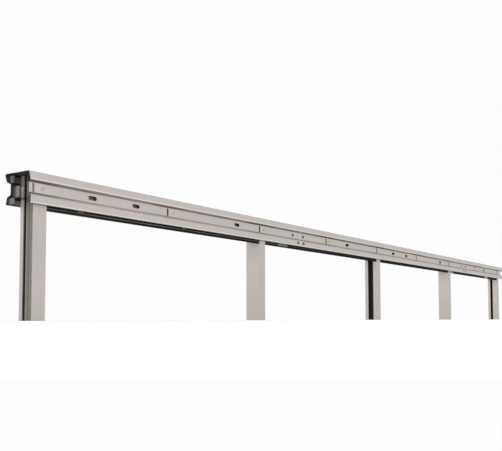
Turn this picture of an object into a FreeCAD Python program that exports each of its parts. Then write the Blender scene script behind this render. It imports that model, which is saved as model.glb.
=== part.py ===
"""Sliding-door header with its uprights, built as separate pieces.

Frame: X runs along the header, front faces -Y, Z is up. The origin is the middle of the
footprint, on the plane that the five uprights stand on. All sizes are millimetres.
Places along the header are given from the first slit, in pitches of the slits.
"""
import FreeCAD, Part
import os
import Sketcher

SIZES = {
    # along the header
    "pitch": 609.6,
    "first_slit_x": -2487.0,
    "right_end": 5020.0,
    "web_stop": 44.0,
    "joint_gap": 1.0,
    "stock_pitches": 4,
    # shell section, as distances out from the middle plane and heights
    "web_out": 44.0,
    "band_out": 54.0,
    "sheet": 2.5,
    "shell_gap": 1.0,
    "lip_return": 8.0,
    "lip_z": 386.4,
    "lower_band_z": 412.4,
    "web_low_z": 422.0,
    "web_high_z": 458.0,
    "top_band_z": 465.0,
    "top_z": 493.0,
    "bend_radius": 2.2,
    # holes in the web
    "slit_width": 6.6,
    "slit_height": 24.6,
    "slit_eye_radius": 3.7,
    "slot_length": 37.0,
    "slot_radius": 7.5,
    "fixing_offset": 36.0,
    "fixing_z": 440.0,
    "fixing_hole_radius": 3.0,
    "fixing_radius": 2.6,
    "fixing_head_radius": 5.5,
    "fixing_head": 1.4,
    "nut_radius": 4.6,
    "nut_height": 3.0,
    # splices
    "splice_half": 95.0,
    "splice_sheet": 2.0,
    "splice_hole_radius": 3.3,
    "splice_radius": 3.0,
    "splice_head_radius": 7.5,
    "splice_head": 1.6,
    "splice_low_z": 403.5,
    # uprights
    "post_offset": 3.0,
    "post_width": 50.0,
    "closed_post_offset": 5.0,
    "closed_post_width": 44.4,
    "post_half_depth": 41.2,
    "post_sheet": 2.0,
    "post_top_z": 404.0,
    "post_tab_z": 455.0,
    "post_full_z": 490.5,
    "rear_stud_depth": 21.0,
    "end_front_stud_depth": 39.8,
    "middle_front_stud_depth": 24.5,
    "end_inset": 3.3,
    "stud_return": 9.0,
    "rib_width": 3.0,
    "rib_height": 1.5,
    "channel_recess": 2.0,
    "channel_wall": 3.0,
    "channel_clearance": 0.4,
    # track
    "track_half": 23.0,
    "track_sheet": 2.5,
    "track_low_z": 409.0,
    "track_high_z": 449.0,
    "track_slot_half": 10.0,
    "track_end_gap": 2.0,
    "track_screw_inset": 28.0,
    "saddle_half": 36.0,
    "yoke_sheet": 3.0,
    "yoke_ear": 2.0,
    "yoke_chamfer": 12.0,
    "yoke_offset": 12.0,
    "yoke_length": 50.0,
    "yoke_low_z": 425.0,
    # seal under the front lip
    "seal_back": 33.5,
    "seal_out": 41.2,
    "seal_leaf": 1.5,
    "seal_leaf_top_z": 419.0,
    "seal_bead_z": 384.0,
    "seal_bead_low_z": 377.5,
    "seal_low_z": 369.5,
    "brush_back": 35.5,
    "brush_out": 39.4,
    "seal_end_gap": 0.5,
    "clip_out": 42.8,
    "clip_sheet": 1.2,
    # stops
    "stop_length": 20.0,
    "stop_half": 19.0,
    "stop_low_z": 412.5,
    "stop_high_z": 441.5,
    "bumper_length": 8.0,
    "bumper_radius": 8.0,
    # trolleys
    "wheel_radius": 13.0,
    "wheel_bore_radius": 4.05,
    "wheel_inner": 11.5,
    "wheel_outer": 19.3,
    "wheel_dish": 1.2,
    "wheel_lift": 0.3,
    "axle_radius": 4.0,
    "axle_head_radius": 6.0,
    "axle_head": 0.6,
    "axle_clearance": 0.1,
    "axle_spacing": 56.0,
    "trolley_half_width": 7.5,
    "trolley_length": 92.0,
    "trolley_low_z": 402.0,
    "trolley_shoulder_z": 414.0,
    "trolley_high_z": 437.0,
    "trolley_chamfer": 6.0,
    "hanger_radius": 5.0,
    "hanger_low_z": 377.3,
    "hanger_high_z": 424.0,
    "hanger_nut_radius": 8.5,
    "hanger_nut_high_z": 400.0,
    "hanger_nut_height": 8.0,
    "washer_radius": 12.0,
    "washer_height": 1.8,
    # couplers and tongue at the open left end
    "coupler_plate": 4.0,
    "coupler_core_out": 42.0,
    "coupler_length": 120.0,
    "coupler_bevel": 4.3,
    "rear_coupler_start": -31.0,
    "front_coupler_start": -13.0,
    "coupler_high_low_z": 461.0,
    "coupler_high_top_z": 485.0,
    "coupler_low_low_z": 390.6,
    "coupler_low_top_z": 409.0,
    "tongue_start": -27.0,
    "tongue_plate": 3.0,
    "tongue_middle": 5.5,
    "tongue_half": 11.0,
    "tongue_wing_near": 12.0,
    "tongue_low_z": 411.0,
    "tongue_high_z": 448.0,
}

FRONT, REAR = -1, 1
SLOT_PITCHES = (0.815, 1.818, 2.152, 3.149)
FRONT_JOINTS = (2.573, 6.573)
REAR_JOINTS = (1.45, 5.45)
SLITS = range(9)
POST_SLITS = (0, 2, 4, 6, 8)
CLOSED_SLITS = (2, 6)
YOKE_SLITS = (1, 3, 5, 7)
BAYS_IN_USE = (1, 3)
TROLLEY_PITCHES = (2.32, 3.60, 6.28, 7.50)

doc = FreeCAD.newDocument("SlidingDoorHeader")
parts = []


class Term:
    """A number that also carries the spreadsheet expression it comes from."""

    def __init__(self, value, text):
        self.value = float(value)
        self.text = text

    @staticmethod
    def of(other):
        return other if isinstance(other, Term) else Term(other, repr(float(other)))

    def join(self, other, sign, value):
        return Term(value, f"({self.text} {sign} {other.text})")

    def __add__(self, other):
        other = Term.of(other)
        return self.join(other, "+", self.value + other.value)

    def __sub__(self, other):
        other = Term.of(other)
        return self.join(other, "-", self.value - other.value)

    def __mul__(self, other):
        other = Term.of(other)
        return self.join(other, "*", self.value * other.value)

    def __truediv__(self, other):
        other = Term.of(other)
        return self.join(other, "/", self.value / other.value)

    def __radd__(self, other):
        return Term.of(other) + self

    def __rsub__(self, other):
        return Term.of(other) - self

    def __rmul__(self, other):
        return Term.of(other) * self

    def __neg__(self):
        return Term.of(0) - self


def make_sheet():
    sheet = doc.addObject("Spreadsheet::Sheet", "Sizes")
    for row, (alias, value) in enumerate(SIZES.items(), start=1):
        sheet.set(f"A{row}", alias)
        sheet.set(f"B{row}", str(value))
        sheet.setAlias(f"B{row}", alias)
    doc.recompute()


def size(alias):
    return Term(SIZES[alias], f"Sizes.{alias}")


def along(pitches):
    """Place along X of a point so many pitches right of the first slit."""
    return size("first_slit_x") + size("pitch") * pitches


# ---------------------------------------------------------------- sketch and feature helpers

def new_body(name):
    body = doc.addObject("PartDesign::Body", name)
    body.Label = name
    parts.append(body)
    return body


def new_sketch(body, role, offset=None):
    """Sketch on one of the body's own origin planes, moved along the plane's normal."""
    plane = next(item for item in body.Origin.OriginFeatures if item.Role == role)
    sketch = body.newObject("Sketcher::SketchObject", f"{body.Name}_sketch")
    sketch.AttachmentSupport = [(plane, "")]
    sketch.MapMode = "FlatFace"
    if offset is not None:
        sketch.setExpression("AttachmentOffset.Base.z", Term.of(offset).text)
    return sketch


def pin_point(sketch, geometry, which, point):
    """Fix one point of the sketch at a pair of terms from its origin."""
    for kind, term in zip(("DistanceX", "DistanceY"), point):
        term = Term.of(term)
        index = sketch.addConstraint(Sketcher.Constraint(kind, -1, 1, geometry, which, term.value))
        sketch.setExpression(f"Constraints[{index}]", term.text)


def add_polygon(sketch, points):
    values = [(Term.of(x).value, Term.of(y).value) for x, y in points]
    count = len(points)
    first = sketch.GeometryCount
    for index, (x, y) in enumerate(values):
        next_x, next_y = values[(index + 1) % count]
        start = FreeCAD.Vector(x, y, 0)
        sketch.addGeometry(Part.LineSegment(start, FreeCAD.Vector(next_x, next_y, 0)), False)
    for index in range(count):
        after = first + (index + 1) % count
        sketch.addConstraint(Sketcher.Constraint("Coincident", first + index, 2, after, 1))
    for index, point in enumerate(points):
        pin_point(sketch, first + index, 1, point)


def add_rectangle(sketch, x_range, y_range):
    (left, right), (low, high) = x_range, y_range
    add_polygon(sketch, [(left, low), (right, low), (right, high), (left, high)])


def add_circle(sketch, centre, radius):
    radius = Term.of(radius)
    middle = FreeCAD.Vector(Term.of(centre[0]).value, Term.of(centre[1]).value, 0)
    circle = Part.Circle(middle, FreeCAD.Vector(0, 0, 1), radius.value)
    geometry = sketch.addGeometry(circle, False)
    pin_point(sketch, geometry, 3, centre)
    index = sketch.addConstraint(Sketcher.Constraint("Radius", geometry, radius.value))
    sketch.setExpression(f"Constraints[{index}]", radius.text)


def pad(body, sketch, length, symmetric=False, reverse=False):
    feature = body.newObject("PartDesign::Pad", f"{body.Name}_pad")
    feature.Profile = sketch
    feature.SideType = "Symmetric" if symmetric else "One side"
    feature.Reversed = reverse
    feature.setExpression("Length", Term.of(length).text)
    return feature


def cut_through(body, sketch, reach):
    """Pocket both ways from the sketch, far enough to pass the whole body."""
    feature = body.newObject("PartDesign::Pocket", f"{body.Name}_pocket")
    feature.Profile = sketch
    feature.SideType = "Symmetric"
    feature.setExpression("Length", Term.of(reach).text)
    return feature


def box_between(body, x_range, y_range, z_range):
    """Pad one rectangular block between the given corners."""
    sketch = new_sketch(body, "XY_Plane", z_range[0])
    add_rectangle(sketch, x_range, y_range)
    return pad(body, sketch, Term.of(z_range[1]) - z_range[0])


def add_fillet(body, feature, spots, radius):
    """Round the edges that run along X through the given (y, z) spots."""
    doc.recompute()
    names = []
    for number, edge in enumerate(feature.Shape.Edges, start=1):
        ends = [vertex.Point for vertex in edge.Vertexes]
        if len(ends) != 2 or abs(ends[0].x - ends[1].x) < 1.0:
            continue
        for y, z in spots:
            if abs(ends[0].y - y.value) < 0.01 and abs(ends[0].z - z.value) < 0.01:
                names.append(f"Edge{number}")
    fillet = body.newObject("PartDesign::Fillet", f"{body.Name}_fillet")
    fillet.Base = (feature, names)
    fillet.setExpression("Radius", size(radius).text)
    return fillet


# ---------------------------------------------------------------- header shells

SHELL_REACH = 300.0
BELOW, OUTSIDE = 6.0, 6.0
# cut of the open left end, as places along X from the first slit
LEFT_END = {
    FRONT: {"lip": -14.5, "low_band": -13.7, "web": -15.0, "high_band": -15.0, "corner": -20.7,
            "roof_middle": -31.7, "roof_edge": -24.5},
    REAR: {"lip": -42.5, "low_band": -37.0, "web": -30.0, "high_band": -38.5, "corner": -46.0,
           "roof_middle": -31.7, "roof_edge": -42.0},
}
LEFT_END_START = {side: min(places.values()) for side, places in LEFT_END.items()}


def shell_profile(side):
    """Rolled section of one shell: roof, proud top band, recessed web, proud lower band, lip."""
    thick = size("sheet")
    ease = thick / 2
    outer = [
        (size("shell_gap"), size("top_z")),
        (size("band_out"), size("top_z")),
        (size("band_out"), size("top_band_z")),
        (size("web_out"), size("web_high_z")),
        (size("web_out"), size("web_low_z")),
        (size("band_out"), size("lower_band_z")),
        (size("band_out"), size("lip_z")),
        (size("band_out") - size("lip_return"), size("lip_z")),
    ]
    inner = [
        (size("band_out") - size("lip_return"), size("lip_z") + thick),
        (size("band_out") - thick, size("lip_z") + thick),
        (size("band_out") - thick, size("lower_band_z") - ease),
        (size("web_out") - thick, size("web_low_z") - ease),
        (size("web_out") - thick, size("web_high_z") + ease),
        (size("band_out") - thick, size("top_band_z") + ease),
        (size("band_out") - thick, size("top_z") - thick),
        (size("shell_gap"), size("top_z") - thick),
    ]
    return [(out * side, height) for out, height in outer + inner]


def slot_places(start, end, joints):
    """Pitches at which the stock's fixing slots fall between two ends."""
    first_stock = joints[0] - SIZES["stock_pitches"]
    places = []
    for stock in range(len(joints) + 1):
        for offset in SLOT_PITCHES:
            place = first_stock + stock * SIZES["stock_pitches"] + offset
            if start + 0.1 < place < end - 0.1:
                places.append(place)
    return places


def splice_holes(joint):
    """The four screw places of a joint, as (distance from the joint, height)."""
    return [
        (size("pitch") * -0.11, size("fixing_z")),
        (size("pitch") * 0.047, size("fixing_z")),
        (size("pitch") * -0.05, size("splice_low_z")),
        (size("pitch") * 0.031, size("splice_low_z")),
    ]


def cut_web(body, origin, start, end, joints):
    """Slits with their round eyes, fixing slots, fixing holes and splice holes."""
    rectangles = new_sketch(body, "XZ_Plane")
    circles = new_sketch(body, "XZ_Plane")
    middle_z = size("fixing_z")
    half_slit = size("slit_height") / 2
    for slit in SLITS:
        if not start < slit < end:
            continue
        x = along(slit) - origin
        half = size("slit_width") / 2
        add_rectangle(rectangles, (x - half, x + half), (middle_z - half_slit, middle_z + half_slit))
        for height in (middle_z - half_slit, middle_z + half_slit):
            add_circle(circles, (x, height), size("slit_eye_radius"))
        if start < slit + 0.06 < end:
            add_circle(circles, (x + size("fixing_offset"), middle_z), size("fixing_hole_radius"))
    straight = size("slot_length") / 2 - size("slot_radius")
    for place in slot_places(start, end, joints):
        x = along(place) - origin
        radius = size("slot_radius")
        add_rectangle(rectangles, (x - straight, x + straight), (middle_z - radius, middle_z + radius))
        for centre in (x - straight, x + straight):
            add_circle(circles, (centre, middle_z), radius)
    for joint in joints:
        if joint in (start, end):
            for offset, height in splice_holes(joint):
                if (offset.value < 0) == (joint == end):
                    centre = (along(joint) + offset - origin, height)
                    add_circle(circles, centre, size("splice_hole_radius"))
    cut_through(body, rectangles, SHELL_REACH)
    return cut_through(body, circles, SHELL_REACH)


def trim_left_end(body, side):
    """Open left end: band ends stand out past the web, and the roof edge slants in plan."""
    ends = {key: place - LEFT_END_START[side] for key, place in LEFT_END[side].items()}
    under_roof = size("top_z") - size("sheet")
    outline = new_sketch(body, "XZ_Plane")
    add_polygon(outline, [
        (-OUTSIDE, size("lip_z") - BELOW),
        (ends["lip"], size("lip_z") - BELOW),
        (ends["low_band"], size("lower_band_z")),
        (ends["web"], size("web_low_z")),
        (ends["web"], size("web_high_z")),
        (ends["high_band"], size("top_band_z")),
        (ends["corner"], under_roof),
        (-OUTSIDE, under_roof),
    ])
    cut_through(body, outline, SHELL_REACH)
    plan = new_sketch(body, "XY_Plane", size("top_z"))
    beyond = (size("band_out") + OUTSIDE) * side
    add_polygon(plan, [
        (-OUTSIDE, 0.0),
        (ends["roof_middle"], 0.0),
        (ends["roof_edge"], size("band_out") * side),
        (ends["roof_edge"], beyond),
        (-OUTSIDE, beyond),
    ])
    return cut_through(body, plan, size("sheet") * 4)


def trim_right_end(body, length):
    """Open right end: the web stops short between the two bands."""
    notch = new_sketch(body, "XZ_Plane")
    heights = (size("web_low_z"), size("web_high_z"))
    add_rectangle(notch, (length - size("web_stop"), length + OUTSIDE), heights)
    return cut_through(body, notch, SHELL_REACH)


def shell(name, side, joints, index):
    """One length of shell: the index-th of three, between the stated joints."""
    starts = (LEFT_END_START[side], size("pitch") * joints[0], size("pitch") * joints[1])
    ends = (size("pitch") * joints[0], size("pitch") * joints[1], size("right_end"))
    gap = size("joint_gap") / 2
    left = size("first_slit_x") + starts[index] + (gap if index > 0 else 0.0)
    right = size("first_slit_x") + ends[index] - (gap if index < 2 else 0.0)
    body = new_body(name)
    profile = new_sketch(body, "YZ_Plane")
    add_polygon(profile, shell_profile(side))
    solid = pad(body, profile, right - left)
    bends = [("band_out", "top_z"), ("band_out", "top_band_z"),
             ("band_out", "lower_band_z"), ("band_out", "lip_z")]
    add_fillet(body, solid, [(size(out) * side, size(height)) for out, height in bends], "bend_radius")
    pitches = (-1.0, joints[0], joints[1], SIZES["right_end"] / SIZES["pitch"])
    cut_web(body, left, pitches[index], pitches[index + 1], joints)
    if index == 0:
        trim_left_end(body, side)
    if index == 2:
        trim_right_end(body, right - left)
    body.setExpression("Placement.Base.x", left.text)


def shells():
    for word, side, joints in (("front", FRONT, FRONT_JOINTS), ("rear", REAR, REAR_JOINTS)):
        for index, place in enumerate(("left", "middle", "right")):
            shell(f"{word}_shell_{place}", side, joints, index)


# ---------------------------------------------------------------- screws through the shells

def side_screws(name, side, places, radius, head_radius, head, stack):
    """Pan screws along Y: head outside, shank through the stack, nut inside.

    places holds (x, z, distance out of the sheet's outer face).
    """
    body = new_body(name)
    for out in sorted({place[2].text: place[2] for place in places}.values(), key=lambda t: t.value):
        here = [place for place in places if place[2].text == out.text]
        for low, high, disc in (
            (out, out + head, head_radius),
            (out - stack - size("nut_height") - 1.0, out, radius),
            (out - stack - size("nut_height"), out - stack, None),
        ):
            sketch = new_sketch(body, "XZ_Plane", low * -side)
            for x, z, _ in here:
                if disc is None:
                    add_hexagon(sketch, (x, z), size("nut_radius"))
                else:
                    add_circle(sketch, (x, z), disc)
            pad(body, sketch, high - low, reverse=(side == REAR))
    return body


def add_hexagon(sketch, centre, radius):
    """Hexagon with two flats level, its corners at the radius."""
    x, y = centre
    half, rise = radius / 2, radius * 0.8660254
    add_polygon(sketch, [
        (x + radius, y), (x + half, y + rise), (x - half, y + rise),
        (x - radius, y), (x - half, y - rise), (x + half, y - rise),
    ])


def fixing_screws():
    """One screw beside every slit, through the web and the wall or ear behind it."""
    stack = size("web_out") - size("post_half_depth") + size("post_sheet") + 0.1
    for word, side in (("front", FRONT), ("rear", REAR)):
        places = [(along(slit) + size("fixing_offset"), size("fixing_z"), size("web_out")) for slit in SLITS]
        side_screws(f"{word}_fixing_screws", side, places, size("fixing_radius"),
                    size("fixing_head_radius"), size("fixing_head"), stack)


def splices():
    """Plates behind the joints of each shell, and the four screws of every joint."""
    gap = size("sheet") + 0.05
    for word, side, joints in (("front", FRONT, FRONT_JOINTS), ("rear", REAR, REAR_JOINTS)):
        plates = new_body(f"{word}_splice_plates")
        for out, low, high in (
            (size("web_out"), size("web_low_z") + 1.0, size("web_high_z") - 1.0),
            (size("band_out"), size("lip_z") + size("sheet") + 1.5, size("lower_band_z") - 3.0),
        ):
            face = out - gap
            sketch = new_sketch(plates, "XZ_Plane", face * -side)
            for joint in joints:
                x = along(joint)
                add_rectangle(sketch, (x - size("splice_half"), x + size("splice_half")), (low, high))
                for offset, height in splice_holes(joint):
                    if low.value < height.value < high.value:
                        add_circle(sketch, (x + offset, height), size("splice_hole_radius"))
            pad(plates, sketch, size("splice_sheet"), reverse=(side == FRONT))
        places = []
        for joint in joints:
            for offset, height in splice_holes(joint):
                upper = height.value > SIZES["web_low_z"]
                places.append((along(joint) + offset, height, size("web_out" if upper else "band_out")))
        side_screws(f"{word}_splice_screws", side, places, size("splice_radius"),
                    size("splice_head_radius"), size("splice_head"), gap + size("splice_sheet"))


# ---------------------------------------------------------------- uprights

def post_left(slit):
    return along(slit) + size("closed_post_offset" if slit in CLOSED_SLITS else "post_offset")


def post_right(slit):
    return post_left(slit) + size("closed_post_width" if slit in CLOSED_SLITS else "post_width")


def add_fixing_hole(body, slit):
    """Hole for the fixing screw, right through the body along Y."""
    sketch = new_sketch(body, "XZ_Plane")
    add_circle(sketch, (along(slit) + size("fixing_offset"), size("fixing_z")), size("fixing_hole_radius"))
    cut_through(body, sketch, SHELL_REACH)


def closed_post(name, slit):
    """Plain rectangular tube with a tab of its front and rear wall carried up behind the shells."""
    body = new_body(name)
    left, right = post_left(slit), post_right(slit)
    half, wall = size("post_half_depth"), size("post_sheet")
    outline = new_sketch(body, "XY_Plane")
    add_rectangle(outline, (left, right), (-half, half))
    pad(body, outline, size("post_tab_z"))
    bore = new_sketch(body, "XY_Plane")
    add_rectangle(bore, (left + wall, right - wall), (-half + wall, half - wall))
    cut_through(body, bore, size("post_tab_z") * 3)
    notch = new_sketch(body, "YZ_Plane", left)
    add_rectangle(notch, (-half + wall, half - wall), (size("post_top_z"), size("post_tab_z") + BELOW))
    cut_through(body, notch, SHELL_REACH)
    add_fixing_hole(body, slit)


def side_stud(name, slit, side, depth, top, tab_top=None, inset=0.0):
    """Channel-shaped stud with its face outward and both side walls towards the middle."""
    body = new_body(name)
    left, right = post_left(slit) + inset, post_right(slit)
    wall, lip = size("post_sheet"), size("stud_return")
    face = size("post_half_depth")
    inner = face - depth
    points = [
        (left, face), (right, face), (right, inner), (right - lip, inner),
        (right - lip, inner + wall), (right - wall, inner + wall), (right - wall, face - wall),
        (left + wall, face - wall), (left + wall, inner + wall), (left + lip, inner + wall),
        (left + lip, inner), (left, inner),
    ]
    section = new_sketch(body, "XY_Plane")
    add_polygon(section, [(x, y * side) for x, y in points])
    pad(body, section, tab_top if tab_top is not None else top)
    if tab_top is not None:
        notch = new_sketch(body, "XY_Plane", top)
        add_rectangle(notch, (left - BELOW, right + BELOW),
                      ((inner - BELOW) * side, (face - wall) * side))
        feature = body.newObject("PartDesign::Pocket", f"{name}_notch")
        feature.Profile = notch
        feature.Reversed = True
        feature.setExpression("Length", (tab_top - top + BELOW).text)
    add_fixing_hole(body, slit)
    return body


def open_end_stud(name, slit):
    """Front stud of the first upright: its channel opens to the left, and its back wall is ribbed."""
    body = new_body(name)
    left, right = post_left(slit), post_right(slit)
    wall = size("post_sheet")
    front = -size("post_half_depth")
    back = front + size("end_front_stud_depth")
    ribs = []
    for place in (0.3, 0.62):
        middle = left + size("post_width") * place
        near, far = middle - size("rib_width") / 2, middle + size("rib_width") / 2
        ribs += [(near, back - wall), (near, back - wall - size("rib_height")),
                 (far, back - wall - size("rib_height")), (far, back - wall)]
    section = new_sketch(body, "XY_Plane")
    add_polygon(section, [
        (left, front), (right, front), (right, back), (left, back), (left, back - wall)] + ribs + [
        (right - wall, back - wall), (right - wall, front + wall), (left, front + wall),
    ])
    pad(body, section, size("post_full_z"))
    add_fixing_hole(body, slit)


def door_channel(name, slit, front_depth, top, opens, inset=0.0):
    """Black channel between two studs. opens lists the sides its groove faces: -1 left, 1 right."""
    body = new_body(name)
    clear, recess, wall = size("channel_clearance"), size("channel_recess"), size("channel_wall")
    left = post_left(slit) + recess + inset
    right = post_right(slit) - recess
    near = -size("post_half_depth") + front_depth + clear
    far = size("post_half_depth") - size("rear_stud_depth") - clear
    outline = new_sketch(body, "XY_Plane")
    add_rectangle(outline, (left, right), (near, far))
    pad(body, outline, top)
    groove = new_sketch(body, "XY_Plane")
    middle = (left + right) / 2
    if -1 in opens:
        stop = middle - wall / 2 if 1 in opens else right - wall
        add_rectangle(groove, (left - BELOW, stop), (near + wall, far - wall))
    if 1 in opens:
        stop = middle + wall / 2 if -1 in opens else left + wall
        add_rectangle(groove, (stop, right + BELOW), (near + wall, far - wall))
    cut_through(body, groove, size("post_full_z") * 3)


def posts():
    full, top, tab = size("post_full_z"), size("post_top_z"), size("post_tab_z")
    end_front, middle_front = size("end_front_stud_depth"), size("middle_front_stud_depth")
    rear, inset = size("rear_stud_depth"), size("end_inset")
    open_end_stud("post_1_front_stud", 0)
    side_stud("post_1_rear_stud", 0, REAR, rear, full, inset=inset)
    door_channel("post_1_door_channel", 0, end_front, full, (1,), inset)
    closed_post("post_2", 2)
    side_stud("post_3_front_stud", 4, FRONT, middle_front, top, tab)
    side_stud("post_3_rear_stud", 4, REAR, rear, top, tab)
    door_channel("post_3_door_channel", 4, middle_front, top, (-1, 1))
    closed_post("post_4", 6)
    side_stud("post_5_front_stud", 8, FRONT, end_front, full)
    side_stud("post_5_rear_stud", 8, REAR, rear, full)
    door_channel("post_5_door_channel", 8, end_front, full, (-1,))


# ---------------------------------------------------------------- track and what carries it

def track_ends():
    middle = (post_left(4) + post_right(4)) / 2
    left = post_right(0) + size("track_end_gap")
    right = post_left(8) - size("track_end_gap")
    return left, middle, right


def track_screw_places():
    """Along X: a pair of screws at every yoke, and one pair on each side of the joiner's middle."""
    joiner = track_ends()[1]
    return [along(slit) + size("track_screw_inset") for slit in YOKE_SLITS] + [joiner - 40.0, joiner + 40.0]


def track(name, left, right):
    """C section, open below, with a slot for the trolleys' bodies."""
    body = new_body(name)
    half, wall, slot = size("track_half"), size("track_sheet"), size("track_slot_half")
    low, high = size("track_low_z"), size("track_high_z")
    outer = [(slot, low), (half, low), (half, high)]
    inner = [(half - wall, high - wall), (half - wall, low + wall), (slot, low + wall)]
    mirrored = [(-y, z) for y, z in reversed(outer)]
    mirrored_inner = [(-y, z) for y, z in reversed(inner)]
    section = new_sketch(body, "YZ_Plane", left)
    add_polygon(section, outer + mirrored + mirrored_inner + inner)
    pad(body, section, right - left)
    holes = new_sketch(body, "XY_Plane", high)
    for x in track_screw_places():
        if left.value < x.value < right.value:
            for y in (-1, 1):
                add_circle(holes, (x, half * y * 0.5), size("fixing_hole_radius"))
    cut_through(body, holes, wall * 4)


def tracks():
    left, middle, right = track_ends()
    gap = size("joint_gap") / 2
    track("track_left", left, middle - gap)
    track("track_right", middle + gap, right)
    joiner = new_body("track_joiner")
    high = size("track_high_z")
    plate = new_sketch(joiner, "XY_Plane", high + 0.05)
    add_rectangle(plate, (middle - 70.0, middle + 70.0), (-size("track_half"), size("track_half")))
    pad(joiner, plate, size("yoke_sheet"))
    holes = new_sketch(joiner, "XY_Plane", high)
    for x in track_screw_places()[-2:]:
        for y in (-1, 1):
            add_circle(holes, (x, size("track_half") * y * 0.5), size("fixing_hole_radius"))
    cut_through(joiner, holes, size("yoke_sheet") * 4)


def yokes():
    """Hangers between the uprights: a cross plate, a foot on the track and an ear on each shell."""
    body = new_body("track_yokes")
    outer, ear, thick = size("post_half_depth"), size("yoke_ear"), size("yoke_sheet")
    low, inner, bevel = size("yoke_low_z"), size("track_half") + 1.5, size("yoke_chamfer")
    roof = size("top_z") - size("sheet") - 1.0
    foot_low = size("track_high_z") + 0.05
    for slit in YOKE_SLITS:
        x = along(slit) + size("yoke_offset")
        end = along(slit) + size("yoke_length")
        cross = new_sketch(body, "YZ_Plane", x)
        add_polygon(cross, [
            (-outer, low), (-inner, low), (-inner, foot_low), (inner, foot_low), (inner, low),
            (outer, low), (outer, roof - bevel), (outer - bevel, roof), (bevel - outer, roof),
            (-outer, roof - bevel),
        ])
        pad(body, cross, thick)
        plan = new_sketch(body, "XY_Plane", foot_low)
        add_rectangle(plan, (x + thick, end), (-size("track_half"), size("track_half")))
        for side in (-1, 1):
            add_circle(plan, (along(slit) + size("track_screw_inset"), size("track_half") * side * 0.5),
                       size("fixing_hole_radius"))
        pad(body, plan, thick)
        for side in (FRONT, REAR):
            flange = new_sketch(body, "XZ_Plane", (outer - ear) * -side)
            add_rectangle(flange, (x + thick, end), (low, size("post_tab_z")))
            add_circle(flange, (along(slit) + size("fixing_offset"), size("fixing_z")),
                       size("fixing_hole_radius"))
            pad(body, flange, ear, reverse=(side == REAR))


def track_screws():
    """Screws down through foot or joiner into the track's roof, nut inside the track."""
    body = new_body("track_screws")
    surface = size("track_high_z") + size("yoke_sheet") + 0.05
    roof = size("track_high_z") - size("track_sheet")
    for low, high, kind in (
        (surface, surface + 2.5, "head"),
        (roof - size("nut_height") - 1.0, surface, "shank"),
        (roof - size("nut_height"), roof, "nut"),
    ):
        sketch = new_sketch(body, "XY_Plane", low)
        for x in track_screw_places():
            for side in (-1, 1):
                centre = (x, size("track_half") * side * 0.5)
                if kind == "nut":
                    add_hexagon(sketch, centre, size("nut_radius"))
                else:
                    add_circle(sketch, centre, size("nut_radius" if kind == "head" else "fixing_radius"))
        pad(body, sketch, high - low)


def saddles():
    """Plates on the cut uprights that the track rests on."""
    body = new_body("post_saddles")
    sketch = new_sketch(body, "XY_Plane", size("post_top_z") + 0.05)
    for slit in POST_SLITS[1:-1]:
        left = post_left(slit)
        add_rectangle(sketch, (left, post_right(slit)), (-size("saddle_half"), size("saddle_half")))
    pad(body, sketch, size("track_low_z") - size("post_top_z") - 0.1)


# ---------------------------------------------------------------- seal under the front lip

def bay_range(bay):
    """Clear length between two neighbouring uprights."""
    return post_right(POST_SLITS[bay]), post_left(POST_SLITS[bay + 1])


def seals():
    """Carrier with a leaf behind the front web and a bead below the lip, and the brush in its bead."""
    out, leaf, back = size("seal_out"), size("seal_leaf"), size("seal_back")
    bead_low, bead_high = size("seal_bead_low_z"), size("seal_bead_z")
    carriers = new_body("seal_carriers")
    brushes = new_body("seal_brushes")
    section = [
        (-out, bead_low), (-out, size("seal_leaf_top_z")), (leaf - out, size("seal_leaf_top_z")),
        (leaf - out, bead_high), (-back, bead_high), (-back, bead_low),
        (-back - leaf, bead_low), (-back - leaf, bead_high - leaf),
        (leaf - out, bead_high - leaf), (leaf - out, bead_low),
    ]
    brush_top = bead_high - leaf - 0.1
    brush = [
        (-size("brush_out"), size("seal_low_z")), (-size("brush_out"), brush_top),
        (-size("brush_back"), brush_top), (-size("brush_back"), size("seal_low_z")),
    ]
    for bay in range(len(POST_SLITS) - 1):
        left, right = bay_range(bay)
        gap = size("seal_end_gap")
        for body, points in ((carriers, section), (brushes, brush)):
            sketch = new_sketch(body, "YZ_Plane", left + gap)
            add_polygon(sketch, points)
            pad(body, sketch, right - left - gap * 2)


def seal_clips():
    """Light clips on the face of the seal, as (pitches from the first slit, length, lowest z)."""
    body = new_body("seal_clips")
    sketch = new_sketch(body, "XZ_Plane", size("clip_out") - size("clip_sheet"))
    high = size("lip_z") + 4.0
    for place, length, low in ((0.29, 24.0, 379.5), (1.145, 14.0, 379.5), (2.25, 84.0, 374.0),
                               (6.095, 44.0, 371.0), (7.42, 84.0, 370.5)):
        add_rectangle(sketch, (along(place), along(place) + length), (low, high))
    pad(body, sketch, size("clip_sheet"))


# ---------------------------------------------------------------- couplers at the open left end

def coupler(body, side, start, reach, heights, slope):
    """Thin end plate standing across one band's open end, and its core that runs into the band.

    reach holds how far out the plate starts and stops; slope says which corner is bevelled.
    """
    (near, far), (low, high), bevel = reach, heights, size("coupler_bevel")
    left = size("first_slit_x") + start
    if slope == "low":
        plate = [(near, low), (far - bevel, low), (far, low + bevel), (far, high), (near, high)]
        low = low + bevel
    else:
        plate = [(near, low), (far, low), (far, high - bevel), (far - bevel, high), (near, high)]
        high = high - bevel
    core_near = size("coupler_core_out")
    core = [(core_near, low), (far, low), (far, high), (core_near, high)]
    face = size("coupler_plate")
    for points, begin, length in ((plate, left, face), (core, left + face, size("coupler_length"))):
        section = new_sketch(body, "YZ_Plane", begin)
        add_polygon(section, [(out * side, height) for out, height in points])
        pad(body, section, length)


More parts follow.
